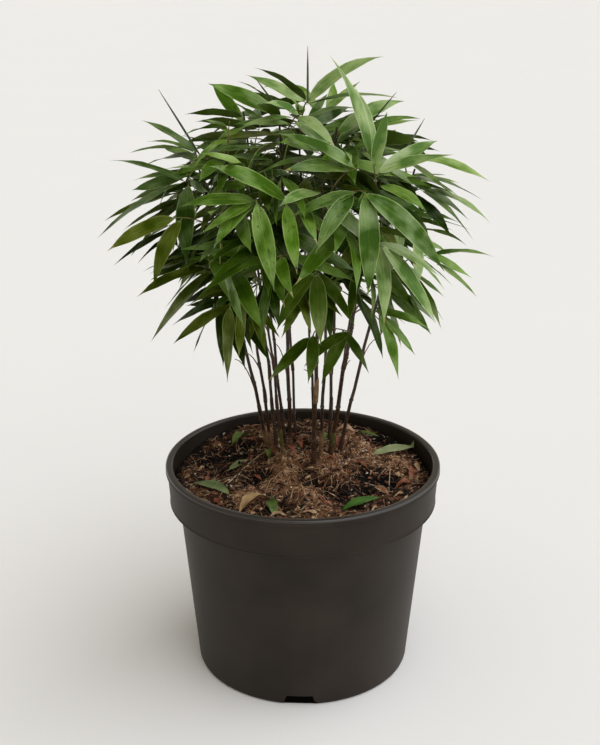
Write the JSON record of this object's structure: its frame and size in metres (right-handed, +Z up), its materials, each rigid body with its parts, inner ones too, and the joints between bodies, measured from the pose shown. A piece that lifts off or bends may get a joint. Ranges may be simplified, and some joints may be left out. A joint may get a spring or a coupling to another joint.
{
  "type": "potted bamboo plant",
  "caption": "Clumping bamboo with slender dark culms and a rounded crown of lance-shaped leaves, growing in a plain round plastic nursery pot.",
  "frame": {"origin": "centre of the pot's flat underside", "axes": "+Z up, -Y towards the front of the plant, +X to the right seen from the front"},
  "size_m": [0.3555, 0.3387, 0.5878],
  "materials": {
    "pot": "injection-moulded polypropylene, dark brown-grey, matte with a faint sheen",
    "compost": "moist bark and fibre compost, rough and crumbly",
    "culms": "smooth dark brown bamboo cane with a soft sheen",
    "leaves": "thin bamboo leaf, mid to deep green, satin upper side",
    "litter": "shed bamboo leaf, pale grey-green to tan"
  },
  "bodies": {
    "root": {"pot": "pot", "compost": "compost", "culm_01": "culms", "culm_02": "culms", "culm_03": "culms", "culm_04": "culms", "culm_05": "culms", "culm_06": "culms", "culm_07": "culms", "culm_08": "culms", "culm_09": "culms", "culm_10": "culms", "culm_11": "culms", "culm_12": "culms", "culm_13": "culms", "culm_14": "culms", "foliage_01": "leaves", "foliage_02": "leaves", "foliage_03": "leaves", "foliage_04": "leaves", "foliage_05": "leaves", "foliage_06": "leaves", "foliage_07": "leaves", "foliage_08": "leaves", "foliage_09": "leaves", "foliage_10": "leaves", "foliage_11": "leaves", "foliage_12": "leaves", "foliage_13": "leaves", "foliage_14": "leaves", "fallen_leaf_1": "litter", "fallen_leaf_2": "litter", "fallen_leaf_3": "litter", "fallen_leaf_4": "litter", "fallen_leaf_5": "litter"}
  },
  "joints": []
}
